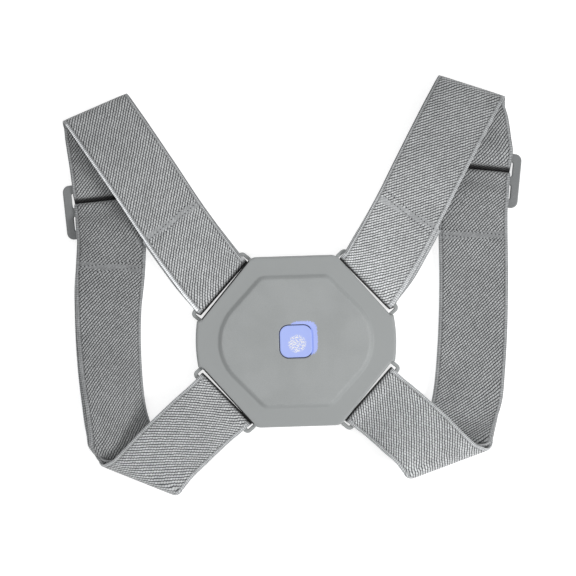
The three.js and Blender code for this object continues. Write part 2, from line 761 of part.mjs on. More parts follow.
// The sewn patch that joins two layers
function seamBlock(stations, where, depth) {
  const near = stretch(stations, where - seamLength / 2, where + seamLength / 2);
  const moved = withNormals(near).map((s) => {
    return station(s.place.clone().addScaledVector(s.normal, -depth), s.ruling);
  });
  return band(moved, layerGap + seamBite, seamInset);
}

// Assembly
const colours = {
  shell: 0xa0a6a6, plate: 0x9a9f9f, button: 0xb4c0fa, webbing: 0x97999b, slider: 0x808283,
};

function piece(name, solid, colour, roughness, metalness = 0) {
  const material = new THREE.MeshStandardMaterial({ color: colour, roughness, metalness });
  const mesh = new THREE.Mesh(geometryOf(solid), material);
  mesh.name = name;
  return mesh;
}

const corrector = new THREE.Group();
corrector.add(
  piece('front_shell', buildShell(), colours.shell, 0.55),
  piece('back_plate', buildBackPlate(), colours.plate, 0.6),
  piece('power_button', buildButton(), colours.button, 0.35),
  piece('left_strap', buildStrap(loops.left), colours.webbing, 0.95),
  piece('right_strap', buildStrap(loops.right), colours.webbing, 0.95),
  piece('left_slider', buildSlider(loops.left), colours.slider, 0.5),
  piece('right_slider', buildSlider(loops.right), colours.slider, 0.5),
);

export default corrector;
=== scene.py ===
# Looks of the posture corrector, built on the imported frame. Sizes are in millimetres until a
# mesh is made, where they become metres.
import math

import bmesh
import bpy
from mathutils import Matrix, Vector


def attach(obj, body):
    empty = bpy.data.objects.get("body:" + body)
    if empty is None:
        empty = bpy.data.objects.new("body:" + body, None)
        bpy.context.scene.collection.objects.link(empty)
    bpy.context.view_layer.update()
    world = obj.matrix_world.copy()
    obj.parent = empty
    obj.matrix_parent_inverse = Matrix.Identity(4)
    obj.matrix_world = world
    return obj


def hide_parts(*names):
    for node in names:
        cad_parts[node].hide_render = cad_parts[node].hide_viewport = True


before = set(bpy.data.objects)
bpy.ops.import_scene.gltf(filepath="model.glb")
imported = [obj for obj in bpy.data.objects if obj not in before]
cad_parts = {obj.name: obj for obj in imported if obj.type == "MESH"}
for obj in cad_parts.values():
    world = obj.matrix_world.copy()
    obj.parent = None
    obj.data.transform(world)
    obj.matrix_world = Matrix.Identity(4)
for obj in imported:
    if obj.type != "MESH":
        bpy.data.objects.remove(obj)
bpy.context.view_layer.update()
scene = bpy.context.scene
mm = 0.001
up = Vector((0, 0, 1))
print("frame loaded:", sorted(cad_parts))


def newMesh(name, points, faces):
    mesh = bpy.data.meshes.new(name)
    mesh.from_pydata([p * mm for p in points], [], faces)
    mesh.validate()
    return mesh


def placed(name, data):
    thing = bpy.data.objects.new(name, data)
    scene.collection.objects.link(thing)
    return thing


def settled(holder):
    # the mesh that an object comes out as, with the object itself taken away
    graph = bpy.context.evaluated_depsgraph_get()
    mesh = bpy.data.meshes.new_from_object(holder.evaluated_get(graph))
    bpy.data.objects.remove(holder)
    return mesh


def newPiece(name, mesh, material, body, stands=(), sharp=35):
    # a finished piece: at the origin, smooth, with its finish and the body that it rides on
    piece = placed(name, mesh)
    if not mesh.materials:
        mesh.materials.append(material)
    mesh.polygons.foreach_set("use_smooth", [True] * len(mesh.polygons))
    mesh.set_sharp_from_angle(angle=math.radians(sharp))
    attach(piece, body)
    for node in stands:
        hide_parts(node)
    return piece


def faceOutwards(mesh):
    work = bmesh.new()
    work.from_mesh(mesh)
    bmesh.ops.recalc_face_normals(work, faces=work.faces)
    work.to_mesh(mesh)
    work.free()


def lerp(a, b, share):
    return a + (b - a) * share


def smoothShare(t):
    t = max(0, min(1, t))
    return t * t * (3 - 2 * t)


# Materials
def linear(r, g, b):
    def one(v):
        v /= 255
        return v / 12.92 if v <= 0.04045 else ((v + 0.055) / 1.055) ** 2.4
    return (one(r), one(g), one(b), 1)


def feed(tree, socket, value):
    # the value is another node's output or a setting
    if isinstance(value, bpy.types.NodeSocket):
        tree.links.new(value, socket)
    else:
        socket.default_value = value


def newNode(tree, kind, inputs=None, **settings):
    node = tree.nodes.new(kind)
    for key, value in settings.items():
        setattr(node, key, value)
    for key, value in (inputs or {}).items():
        feed(tree, node.inputs[key], value)
    return node


class Recipe:
    # a node material with short ways to add and join its nodes
    def __init__(self, name):
        self.material = bpy.data.materials.new(name)
        self.material.use_nodes = True
        self.tree = self.material.node_tree
        self.shader = self.tree.nodes["Principled BSDF"]

    def add(self, kind, inputs=None, **settings):
        return newNode(self.tree, kind, inputs, **settings)

    def math(self, operation, *values):
        return self.add("ShaderNodeMath", dict(enumerate(values)), operation=operation).outputs[0]

    def plus(self, first, second):
        return self.math("ADD", first, second)

    def minus(self, first, second):
        return self.math("SUBTRACT", first, second)

    def times(self, first, second):
        return self.math("MULTIPLY", first, second)

    def over(self, first, second):
        return self.math("DIVIDE", first, second)

    def size(self, value):
        return self.math("ABSOLUTE", value)

    def grey(self, value):
        return self.add("ShaderNodeCombineXYZ", {0: value, 1: value, 2: value}).outputs[0]

    def attribute(self, name):
        return self.add("ShaderNodeAttribute", attribute_name=name).outputs["Fac"]

    def ramp(self, value, low, high, to=(0.0, 1.0), smooth=True):
        kind = "SMOOTHSTEP" if smooth else "LINEAR"
        return self.add("ShaderNodeMapRange", {
            "Value": value, "From Min": low, "From Max": high, "To Min": to[0], "To Max": to[1],
        }, interpolation_type=kind).outputs[0]

    def mix(self, share, first, second, blend="MIX"):
        node = self.add("ShaderNodeMix", data_type="RGBA", blend_type=blend)
        for socket, value in ((0, share), (6, first), (7, second)):
            feed(self.tree, node.inputs[socket], value)
        return node.outputs[2]

    def noise(self, vector, scale, detail=3.0, roughness=0.5):
        return self.add("ShaderNodeTexNoise", {
            "Vector": vector, "Scale": scale, "Detail": detail, "Roughness": roughness,
        }).outputs["Fac"]

    def bump(self, height, distance):
        return self.add("ShaderNodeBump", {
            "Height": height, "Distance": distance, "Strength": 1.0,
        }).outputs[0]

    def put(self, socket, value):
        feed(self.tree, self.shader.inputs[socket], value)

    def place(self):
        return self.add("ShaderNodeTexCoord").outputs["Object"]


def twoTones(colour, spread):
    # the colour a little darker and a little lighter
    return [linear(*[c + step for c in colour]) for step in (-spread, spread)]


def plasticFinish(name, colour, roughness, grain, grainDepth):
    # moulded plastic: a fine spark-eroded grain, faint mottling and worn, paler high spots
    r = Recipe(name)
    place = r.place()
    fine = r.noise(place, grain, 4, 0.6)
    broad = r.noise(place, 55, 2)
    tone = r.mix(r.ramp(broad, 0.3, 0.7), *twoTones(colour, 3))
    speck = r.mix(r.ramp(fine, 0.35, 0.65), linear(150, 150, 150), linear(205, 205, 205))
    r.put("Base Color", r.mix(0.22, tone, r.mix(1.0, tone, speck, "OVERLAY")))
    r.put("Roughness", r.ramp(fine, 0.2, 0.8, (roughness - 0.06, roughness + 0.08)))
    r.put("Normal", r.bump(fine, grainDepth))
    r.put("Specular IOR Level", 0.4)
    return r


# Upper is how far its seam lies from the strap bar, and back from the slider's middle.
seams = {
    "upper": 45, "back": 34, "length": 4.6, "inset": 1.6, "tailPast": 1.2, "pitch": 2.2, "apart": 4.3,
}
# Lengths here are in metres, as the materials measure them.
webLook = {
    "linePitch": 0.00148, "dashPitch": 0.0016, "stagger": 0.37, "slant": 45.0, "drift": 0.0009,
    "depth": 0.00022, "selvedge": 0.0184, "selvedgeTone": 1.16, "borderTone": 0.6, "rim": 0.0194,
    "ribPitch": 0.0011, "cordPitch": 0.001, "pulled": 0.8,
    "light": (212, 214, 215), "ground": (150, 152, 154), "dark": (54, 56, 58),
}


def twillFloats(r, place, u, v):
    # lines of short floats: how high the web is, and a chance number for each float
    look = webLook
    drift = r.times(r.minus(r.noise(place, 260, 2), 0.5), look["drift"])
    sine, cosine = math.sin(math.radians(look["slant"])), math.cos(math.radians(look["slant"]))
    alongLine = r.plus(r.times(u, sine), r.times(v, cosine))
    acrossLines = r.plus(r.minus(r.times(u, cosine), r.times(v, sine)), drift)
    lines = r.over(acrossLines, look["linePitch"])
    row = r.math("FLOOR", lines)
    dashes = r.plus(r.over(alongLine, look["dashPitch"]), r.times(row, look["stagger"]))
    # a float is a long rounded hump; the gaps between floats are dark
    farLine, farDash = [
        r.math("POWER", r.size(r.times(r.minus(r.math("FRACT", value), 0.5), 2.0)), power)
        for value, power in ((lines, 2.0), (dashes, 4.0))]
    hump = r.ramp(r.minus(1.0, r.plus(farLine, r.times(farDash, 0.55))), 0.0, 0.95)
    number = r.add("ShaderNodeCombineXYZ", {0: row, 1: r.math("FLOOR", dashes)}).outputs[0]
    chance = r.add("ShaderNodeTexWhiteNoise", {"Vector": number}, noise_dimensions="2D").outputs[0]
    return hump, chance


def selvedgeRibs(r, aside, v):
    rib = r.math("SINE", r.times(v, 2 * math.pi / webLook["ribPitch"]))
    cord = r.math("SINE", r.times(aside, 2 * math.pi / webLook["cordPitch"]))
    return r.plus(r.times(rib, 0.18), r.math("MULTIPLY_ADD", cord, 0.16, 0.62))


def webbingShade(r, place, aside, edge):
    # how light the webbing is: broad change, the painted light and shade along the strap, and its edges
    look = webLook
    broad = r.ramp(r.noise(place, 38, 3), 0.3, 0.7, (0.93, 1.05))
    # the last row of floats before a selvedge sinks into a dark line
    away = r.size(r.minus(aside, look["selvedge"] - 0.0003))
    border = r.ramp(away, 0.0001, 0.0005, (look["borderTone"], 1.0))
    plain = r.ramp(edge, 0.0, 1.0, (1.0, look["selvedgeTone"]))
    shade = r.times(r.times(broad, r.attribute("tone")), r.times(border, plain))
    # the very edge gets a painted highlight or painted shade of its own
    rim = r.ramp(aside, look["rim"] - 0.0001, look["rim"] + 0.0001)
    return r.times(shade, r.math("MULTIPLY_ADD", rim, r.minus(r.attribute("paintedEdgeLight"), 1.0), 1.0))


def webbingFinish():
    # twill of short slanting floats between plain selvedges, on the strap's own UV map
    look = webLook
    r = Recipe("elastic_twill")
    uv = r.add("ShaderNodeUVMap", uv_map="web").outputs[0]
    place = r.place()
    u, v = r.add("ShaderNodeSeparateXYZ", {0: uv}).outputs[:2]
    aside = r.size(u)
    edge = r.ramp(aside, look["selvedge"] - 0.0003, look["selvedge"] + 0.0003)
    hump, chance = twillFloats(r, place, u, v)
    height = r.plus(r.times(hump, r.minus(1.0, edge)), r.times(selvedgeRibs(r, aside, v), edge))
    # pulled flat between the two rows of a seam
    half = seams["apart"] / 2
    pulled = r.ramp(r.attribute("seamAway"), half - 0.5, half, (look["pulled"], 0.0))
    height = r.plus(r.times(height, r.minus(1.0, pulled)), r.times(pulled, 0.66))
    fuzz = r.noise(place, 2600, 2, 0.7)
    height = r.math("MULTIPLY_ADD", r.minus(fuzz, 0.5), 0.35, height)
    # dark in the gaps, light on the floats, each float a little different
    body = r.mix(r.ramp(height, 0.0, 0.5), linear(*look["dark"]), linear(*look["ground"]))
    body = r.mix(r.ramp(height, 0.45, 1.0), body, linear(*look["light"]))
    each = r.ramp(chance, 0.0, 1.0, (0.86, 1.1), smooth=False)
    body = r.mix(1.0, body, r.grey(each), "MULTIPLY")
    body = r.mix(1.0, body, r.grey(webbingShade(r, place, aside, edge)), "MULTIPLY")
    r.put("Base Color", body)
    r.put("Roughness", 0.92)
    r.put("Specular IOR Level", 0.2)
    r.put("Sheen Weight", 0.25)
    r.put("Sheen Roughness", 0.5)
    r.put("Normal", r.bump(height, look["depth"]))
    return r.material


def threadFinish(name, colour):
    r = Recipe(name)
    twist = r.noise(r.place(), 3500, 2)
    r.put("Base Color", r.mix(twist, *twoTones(colour, 18)))
    r.put("Roughness", 0.85)
    r.put("Normal", r.bump(twist, 0.00008))
    return r.material


# Places and heights here are in metres on the device.
# flange is the painted shade colour of the button's groove; halo is a painted glow on the shell
glowLook = {
    "cap": (112, 120, 152), "flange": (78, 80, 84), "glow": (134, 149, 204), "spark": (226, 220, 190),
    "sparkAt": (0.0007, -0.0014, 0.013), "sparkReach": (0.0044, 0.0058), "sparkSize": 1500,
    "haloAt": (0.0042, 0.0017), "haloHalf": (0.0085, 0.01), "halo": (76, 104, 200),
}
shellTones = {"shell": (163, 166, 166), "rim": (159, 162, 162), "slotShadow": (22, 22, 23)}


def buttonFinish():
    # a lit cap that glows evenly, with bright sparks where the lamp sits behind it
    look = glowLook
    r = Recipe("lit_button")
    place = r.place()
    away = r.add("ShaderNodeVectorMath", {0: place, 1: look["sparkAt"]}, operation="DISTANCE").outputs[1]
    mottle = r.noise(place, look["sparkSize"], 1, 0.4)
    share = r.times(r.ramp(away, *look["sparkReach"], (1.0, 0.0)), r.ramp(mottle, 0.48, 0.58))
    # painted shade: the flange down in the groove stays dark and unlit, except on the right, where it takes
    # the cap's colour and glow
    parts = r.add("ShaderNodeSeparateXYZ", {0: place}).outputs
    lit = r.math("MAXIMUM", r.ramp(parts["Z"], 0.0119, 0.0124), r.ramp(parts["X"], 0.0084, 0.0092))
    r.put("Base Color", r.mix(lit, linear(*look["flange"]), linear(*look["cap"])))
    r.put("Emission Color", r.mix(share, linear(*look["glow"]), linear(*look["spark"])))
    r.put("Emission Strength", lit)
    r.put("Roughness", 0.4)
    r.put("Normal", r.bump(mottle, 0.00004))
    return r.material


def slotWalls(r, x, y):
    # mask for painted shadow, where the shell faces one of the left strap bars' slots, which lie in shadow
    along, outwards, distance, middle = slantedSide()
    far, down = [
        r.plus(r.times(r.size(x), way.x), r.times(r.size(y), way.y)) for way in (outwards, along)]
    far = r.minus(far, distance * mm)
    down = r.size(r.minus(down, (along.dot(middle) - bars["slotShift"]) * mm))
    half = bars["slotLength"] / 2 * mm
    shares = [
        r.ramp(far, -0.001, -0.0006),
        r.ramp(far, 0.0005, 0.001, (1.0, 0.0)),
        r.ramp(x, -0.01, 0.01, (1.0, 0.0)),
        r.ramp(down, half - 0.0004, half + 0.0004, (1.0, 0.0)),
    ]
    return r.times(r.times(shares[0], shares[1]), r.times(shares[2], shares[3]))


def shellFinish():
    # painted glow: the shell glows beside the lit button, for light that leaks through the plastic
    look = glowLook
    r = plasticFinish("shell_plastic_painted_glow_shadow", shellTones["shell"], 0.52, 2300, 0.00006)
    place = r.place()
    x, y, high = r.add("ShaderNodeSeparateXYZ", {0: place}).outputs
    sideways, lengthways = [
        r.math("POWER", r.size(r.over(r.minus(value, middle), half)), 4.0)
        for value, middle, half in zip((x, y), look["haloAt"], look["haloHalf"])]
    away = r.plus(sideways, lengthways)
    ragged = r.math("MULTIPLY_ADD", r.minus(r.noise(place, 1500, 1), 0.5), 0.7, away)
    # the painted glow stays off the groove except on the right
    shown = r.math("MAXIMUM", r.ramp(high, 0.0124, 0.0128), r.ramp(x, 0.008, 0.009))
    r.put("Emission Color", linear(*look["halo"]))
    r.put("Emission Strength", r.times(r.ramp(ragged, 0.85, 1.15, (1.0, 0.0)), shown))
    # the rim under the plateau is a little darker
    colour = r.shader.inputs["Base Color"].links[0].from_socket
    colour = r.mix(r.ramp(high, 0.0112, 0.0126, (1.0, 0.0)), colour, linear(*shellTones["rim"]))
    # painted shadow where the shell faces the strap slots
    r.put("Base Color", r.mix(slotWalls(r, x, y), colour, linear(*shellTones["slotShadow"])))
    return r.material


webbingLook = webbingFinish()
threadLook = threadFinish("seam_thread", (176, 178, 180))
# needle holes are painted shade: dark beads on the webbing
holeShadowLook = threadFinish("needle_hole_shadow", (34, 34, 36))
buttonLook = buttonFinish()
plateLook = plasticFinish("plate_plastic_look", (150, 153, 153), 0.6, 1900, 0.00008).material
sliderLook = plasticFinish("slider_plastic_look", (128, 130, 131), 0.48, 2000, 0.00005).material
print("materials made")


# The device
device = {
    "bodyWidth": 115.8, "bodyHeight": 100.4, "sideBulge": 1.1, "sideLength": 23.2, "topLength": 49.8,
    "cornerRadius": 7, "plateThickness": 2.2, "rimHeight": 11, "shellWall": 2, "partingGap": 0.3,
    "edgeRound": 1.6, "plateFlat": 12, "plateEdge": 0.8,
    "plateauWidth": 91.4, "plateauHeight": 78, "plateauTopLength": 40, "plateauSlant": 46.5,
    "plateauRise": 2, "plateauBevel": 2.4, "plateauCorner": 7,
    "ringPoints": 480, "roundSteps": 12,
}
button = {
    "side": 18.8, "corner": 5.1, "groove": 0.5, "flange": 1.6, "flangeThickness": 1,
    "edgeRound": 0.6,
}
bars = {
    "slotLength": 44.2, "slotOpening": 4.5, "barWidth": 2.5, "barHeight": 3, "barMiddle": 5,
    "earWall": 2.2, "earCorner": 3, "slotCorner": 0.6, "slotShift": 0.8, "edgeRound": 0.6,
}


def roundedOutline(corners, steps):
    # corners are (x, y, radius)
    points = []
    for k, (x, y, radius) in enumerate(corners):
        here = Vector((x, y))
        back = (Vector(corners[k - 1][:2]) - here).normalized()
        ahead = (Vector(corners[(k + 1) % len(corners)][:2]) - here).normalized()
        half = math.acos(max(-1, min(1, back.dot(ahead)))) / 2
        centre = here + (back + ahead).normalized() * (radius / math.sin(half))
        start = here + back * (radius / math.tan(half)) - centre
        end = here + ahead * (radius / math.tan(half)) - centre
        first = math.atan2(start.y, start.x)
        sweep = math.atan2(end.y, end.x) - first
        sweep -= 2 * math.pi * round(sweep / (2 * math.pi))
        for j in range(steps + 1):
            angle = first + sweep * j / steps
            points.append(centre + Vector((math.cos(angle), math.sin(angle))) * radius)
    return points


def slantedSide():
    start = Vector((device["topLength"] / 2, device["bodyHeight"] / 2))
    end = Vector((device["bodyWidth"] / 2, device["sideLength"] / 2))
    along = (end - start).normalized()
    normal = Vector((-along.y, along.x))
    return along, normal, normal.dot(start), (start + end) / 2


def bodyOutline(inset):
    halfWidth = device["bodyWidth"] / 2 - inset
    halfHeight = device["bodyHeight"] / 2 - inset
    normal, distance = slantedSide()[1:3]
    topX = (distance - inset - normal.y * halfHeight) / normal.x
    sideY = (distance - inset - normal.x * halfWidth) / normal.y
    radius = max(device["cornerRadius"] - inset, 1)
    corners = []
    for k, (sx, sy) in enumerate(((1, 1), (-1, 1), (-1, -1), (1, -1))):
        pair = [(sx * halfWidth, sy * sideY, radius), (sx * topX, sy * halfHeight, radius)]
        corners += pair[::-1] if k % 2 else pair
    return roundedOutline(corners, device["roundSteps"]), halfWidth, sideY


def plateauOutline(inset):
    slant = math.radians(device["plateauSlant"])
    halfHeight = device["plateauHeight"] / 2 - inset
    topX = device["plateauTopLength"] / 2 - inset * math.tan(slant / 2)
    tipX = topX + halfHeight / math.tan(slant)
    sideRadius = max((tipX - device["plateauWidth"] / 2 + inset) / (1 / math.sin(slant) - 1), 2)
    corner = max(device["plateauCorner"] - inset, 1)
    return roundedOutline([
        (tipX, 0, sideRadius), (topX, halfHeight, corner), (-topX, halfHeight, corner),
        (-tipX, 0, sideRadius), (-topX, -halfHeight, corner), (topX, -halfHeight, corner),
    ], device["roundSteps"] * 2)


def rectangle(half, low, high, radius, steps=8):
    corners = ((half, low), (half, high), (-half, high), (-half, low))
    return roundedOutline([(x, y, radius) for x, y in corners], steps)


def ringOn(outline, height, bulge=None):
    # the outline at evenly spread angles, so that rings of any shape join up
    count = device["ringPoints"]
    ring = []
    for k in range(count):
        angle = 2 * math.pi * (k + 0.5) / count
        ray = Vector((math.cos(angle), math.sin(angle)))
        reach = 0
        for a, b in zip(outline, outline[1:] + outline[:1]):
            side = b - a
            cross = ray.x * side.y - ray.y * side.x
            if abs(cross) < 1e-9:
                continue
            far = (a.x * side.y - a.y * side.x) / cross
            share = (a.x * ray.y - a.y * ray.x) / cross
            if far > 0 and -1e-6 <= share <= 1 + 1e-6:
                reach = max(reach, far)
        if bulge:
            reach = max(reach, bulgeReach(ray, *bulge))
        ring.append(Vector((ray.x * reach, ray.y * reach, height)))
    return ring


def bulgeReach(ray, halfWidth, sideY):
    # the upright sides swell a little between their corners
    half = sideY + 2
    swell = device["sideBulge"]
    radius = (half * half + swell * swell) / (2 * swell)
    centre = halfWidth + swell - radius
    cosine = abs(ray.x)
    root = cosine * cosine * centre * centre - centre * centre + radius * radius
    if root < 0:
        return 0
    reach = cosine * centre + math.sqrt(root)
    return reach if abs(ray.y * reach) < half and cosine > 0.5 else 0


def bodyRing(inset, height):
    outline, halfWidth, sideY = bodyOutline(inset)
    return ringOn(outline, height, (halfWidth, sideY))


def plateauRing(inset, height):
    return ringOn(plateauOutline(inset), height)


def squareRing(side, radius, height):
    return ringOn(rectangle(side / 2, -side / 2, side / 2, radius, device["roundSteps"]), height)


def loft(name, rings, capped=False):
    # joins rings of equal count; capped closes both ends with a middle point, otherwise the
    # last ring joins the first
    count = len(rings[0])
    points = [p for ring in rings for p in ring]
    faces = []
    for k in range(len(rings) if not capped else len(rings) - 1):
        here, there = k * count, ((k + 1) % len(rings)) * count
        for j in range(count):
            after = (j + 1) % count
            faces.append((here + j, here + after, there + after, there + j))
    if capped:
        for start, height in ((0, rings[0][0].z), ((len(rings) - 1) * count, rings[-1][0].z)):
            points.append(Vector((0, 0, height)))
            faces += [(start + j, start + (j + 1) % count, len(points) - 1) for j in range(count)]
    mesh = newMesh(name, points, faces)
    faceOutwards(mesh)
    return mesh


def quarter(radius, steps=6):
    # (drawn in, raised) along a rounded edge
    return [(radius * (1 - math.cos(math.pi / 2 * k / steps)), radius * math.sin(math.pi / 2 * k / steps))
            for k in range(steps + 1)]


plateauEdge = [(-0.7, 0), (-0.3, 0.03), (0.1, 0.16), (0.5, 0.44), (1.7, 1.5), (2.05, 1.76), (2.4, 1.9),
               (2.9, 1.98), (3.5, 2)]  # (drawn in, raised) up the plateau's sloping side


def shellMesh():
    base = device["plateThickness"] + device["partingGap"]
    rim = device["rimHeight"]
    top = rim + device["plateauRise"]
    wall = device["shellWall"]
    rounded = device["edgeRound"]
    holeSide = button["side"] + 2 * button["groove"]
    holeCorner = button["corner"] + button["groove"]
    rings = [bodyRing(0.3, base), bodyRing(0.06, base + 0.1), bodyRing(0, base + 0.35)]
    rings += [bodyRing(inset, rim - rounded + rise) for inset, rise in quarter(rounded, 8)]
    rings += [bodyRing(rounded + 0.8, rim)]
    rings += [plateauRing(inset, rim + rise) for inset, rise in plateauEdge]
    rings += [squareRing(holeSide + 2 * wider, holeCorner + wider, top) for wider in (1.4, 0.7)]
    edge = button["edgeRound"]
    rings += [squareRing(holeSide + 2 * (edge - rise), holeCorner + edge - rise, top - inset)
              for inset, rise in quarter(edge, 4)]
    rings += [squareRing(holeSide, holeCorner, top - wall)]
    rings += [plateauRing(device["plateauBevel"] + 1.8, top - wall), plateauRing(1.6, rim - wall)]
    rings += [bodyRing(wall + 1, rim - wall), bodyRing(wall + 1, base)]
    return loft("front_shell", rings)


def plateMesh():
    thick = device["plateThickness"]
    flat, edge = device["plateFlat"], device["plateEdge"]
    rings = [bodyRing(flat, 0), bodyRing(1.4, 0)]
    rings += [bodyRing(inset, edge - rise) for inset, rise in quarter(edge, 5)[::-1]]
    rings += [bodyRing(inset, thick - drop)
              for inset, drop in ((0, 0.3), (0.09, 0.09), (0.3, 0), (flat, 0))]
    return loft("back_plate", rings, capped=True)


def buttonMesh():
    side, corner = button["side"], button["corner"]
    top = device["rimHeight"] + device["plateauRise"]
    flangeTop = top - device["shellWall"] - device["partingGap"]
    flangeSide = side + 2 * button["flange"]
    flangeCorner = corner + button["flange"]
    low = flangeTop - button["flangeThickness"]
    rings = [squareRing(4, 1.5, low), squareRing(flangeSide, flangeCorner, low),
             squareRing(flangeSide, flangeCorner, flangeTop), squareRing(side, corner, flangeTop)]
    edge = button["edgeRound"]
    rings += [squareRing(side - 2 * inset, corner - inset, top - edge + rise)
              for inset, rise in quarter(edge, 6)]
    # a shallow dish inside a narrow rim
    for drawn, drop in ((1.0, 0.0), (1.5, 0.05), (2.2, 0.14), (3.2, 0.2), (5.5, 0.26), (8.0, 0.29)):
        rings.append(squareRing(side - 2 * drawn, max(corner - drawn, 1.4), top - drop))
    return loft("power_button", rings, capped=True)


def flatPlate(name, outlines, low, high, rounded):
    # a plate cut from outlines, the first its edge and the others its holes
    curve = bpy.data.curves.new(name, "CURVE")
    curve.dimensions = "2D"
    curve.fill_mode = "BOTH"
    curve.extrude = ((high - low) / 2 - rounded) * mm
    curve.bevel_depth = rounded * mm
    curve.bevel_resolution = 3
    curve.offset = -rounded * mm
    for outline in outlines:
        spline = curve.splines.new("POLY")
        spline.points.add(len(outline) - 1)
        for point, place in zip(spline.points, outline):
            point.co = (place.x * mm, place.y * mm, 0, 1)
        spline.use_cyclic_u = True
    mesh = settled(placed(name, curve))
    mesh.transform(Matrix.Translation((0, 0, (low + high) / 2 * mm)))
    mesh.materials.clear()
    return mesh


def strapBar(sx, sy):
    along, normal, distance, middle = slantedSide()
    flip = Vector((sx, sy))
    along, normal, middle = along * flip, normal * flip, middle * flip
    return middle - along * bars["slotShift"], along, normal


def earMeshes():
    reach = bars["slotOpening"] + bars["barWidth"]
    half = bars["slotLength"] / 2
    low = bars["barMiddle"] - bars["barHeight"] / 2
    ear = flatPlate("ear", [
        rectangle(half + bars["earWall"], -device["shellWall"], reach, bars["earCorner"]),
        rectangle(half, 0, bars["slotOpening"], bars["slotCorner"]),
    ], low, low + bars["barHeight"], bars["edgeRound"])
    meshes = []
    for sx, sy in ((1, 1), (-1, 1), (-1, -1), (1, -1)):
        slotMiddle, along, normal = strapBar(sx, sy)
        along3, normal3 = along.to_3d(), normal.to_3d()
        if along3.cross(normal3).z < 0:
            along3.negate()
        turned = Matrix((along3, normal3, up)).transposed().to_4x4()
        turned.translation = slotMiddle.to_3d() * mm
        copy = ear.copy()
        copy.transform(turned)
        meshes.append(copy)
    return meshes


def joined(name, meshes):
    points, faces = [], []
    for mesh in meshes:
        start = len(points)
        points += [v.co / mm for v in mesh.vertices]
        faces += [tuple(start + i for i in p.vertices) for p in mesh.polygons]
    return newMesh(name, points, faces)


shellGlowShadowLook = shellFinish()
newPiece("shell_body", joined("shell_body", [shellMesh(), *earMeshes()]), shellGlowShadowLook,
         "harness", ["front_shell"])
newPiece("back_cover", plateMesh(), plateLook, "harness", ["back_plate"])
newPiece("lit_button", buttonMesh(), buttonLook, "button", ["power_button"])
print("device made")


# The sliders
webbing = {
    "width": 40.6, "thickness": 1.4, "layerGap": 0.3, "bendPlay": 0.35, "wrapSkew": 0.4, "floorGap": 0.1,
    "webShift": 0.2, "selvedgeThin": 0.16, "thinFrom": 0.86, "thinOver": 0.06, "edgeReach": 0.8,
    "frontStep": 2.5, "backStep": 2.2, "tailStep": 1.3, "acrossSteps": 12, "edgeSteps": 4,
    "barSpread": 1.035, "spreadRows": 14, "tailSettles": 0.55,
    "wrapLight": 0.33, "wrapFade": 0.12, "wrapLoose": 1.3, "wrapLean": 0.8,
}
sliders = {
    "bar": 5, "slot": 8.5, "side": 4.9, "play": 1.1, "thickness": 2.4, "corner": 4, "edgeRound": 0.7,
    "overhang": 1,
}
loops = {
    "left": {
        "mirror": 1, "bow": 1.05, "bank": 33, "tailShift": 1,
        "topFold": {"out": 114.2, "up": 141.5, "turn": 21.7, "radius": 4.2, "open": 0.16, "lift": 3.4},
        "slider": {"out": 107.7, "up": 81.6, "turn": 4.3},
        "bottomFold": {"out": 95.2, "up": -78.2, "turn": -23.6, "radius": 6, "height": 18},
    },
    "right": {
        "mirror": -1, "bow": 0.68, "bank": 0, "tailShift": 2.2,
        "topFold": {"out": 108.3, "up": 147, "turn": 19.7, "radius": 5.6, "open": 0.22, "lift": 3.4},
        "slider": {"out": 108.8, "up": 93.2, "turn": 7.3},
        "bottomFold": {"out": 88.6, "up": -74.4, "turn": -18.8, "radius": 6, "height": 17},
    },
}
seamLayer = webbing["thickness"] + webbing["layerGap"]
sliderReach = sliders["bar"] * 1.5 + sliders["slot"]
sliderMiddle = webbing["floorGap"] + 2 * seamLayer + sliders["thickness"] / 2


def sliderMesh(loop):
    half = webbing["width"] / 2 + sliders["play"]
    inner = sliders["bar"] / 2
    outer = inner + sliders["slot"]
    mesh = flatPlate("slider", [
        rectangle(half + sliders["side"], -sliderReach, sliderReach, sliders["corner"]),
        rectangle(half, inner, outer, 1),
        rectangle(half, -outer, -inner, 1),
    ], -sliders["thickness"] / 2, sliders["thickness"] / 2, sliders["edgeRound"])
    place = loop["slider"]
    side = -loop["mirror"]
    turned = Matrix.Rotation(math.radians(place["turn"]) * -side, 4, "Z")
    turned.translation = Vector((side * place["out"], place["up"], sliderMiddle)) * mm
    mesh.transform(turned)
    return mesh


for arm, loop in loops.items():
    newPiece(f"{arm}_adjuster", sliderMesh(loop), sliderLook, "harness",
             [f"{arm}_slider"])
print("sliders made")


# The webbing
# Rows as in the part's source: along is the share of the way, aside the sideways offset in
# widths, height above the line between the ends, turn the share of the change in turn, tilt the
# rise of the outer edge in degrees, part the distance to the layer inside.
frontRows = [
    {"along": 0.12, "aside": 0.02, "height": 0.8, "turn": 0.05},
    {"along": 0.34, "aside": 0.03, "height": 2.6, "turn": 0.25, "tilt": 4},
    {"along": 0.58, "aside": 0.01, "height": 4.4, "turn": 0.5, "tilt": 8},
    {"along": 0.82, "height": 3, "turn": 0.8, "tilt": 6},
    {"along": 0.94, "height": 0.8, "turn": 1, "tilt": 3},
]
upperBackRows = [
    {"along": 0.25, "turn": 0.2},
    {"along": 0.6, "height": -1.6, "turn": 0.7},
]
lowerBackRows = [
    {"along": 0.1, "aside": 0.05, "offGround": 3.2, "turn": 0, "bank": 0.15, "part": 3.4},
    {"along": 0.32, "aside": 0.16, "offGround": 0.4, "turn": 0.12, "bank": 0.8, "part": 2.4},
    {"along": 0.55, "aside": 0.215, "offGround": 0.4, "turn": 0.3, "bank": 1, "part": 3.2},
    {"along": 0.76, "aside": 0.2, "offGround": 0.8, "turn": 0.5, "bank": 1.1, "part": 4},
    {"along": 0.9, "aside": 0.095, "offGround": 3, "turn": 0.8, "bank": 0.8, "part": 3.4},
]
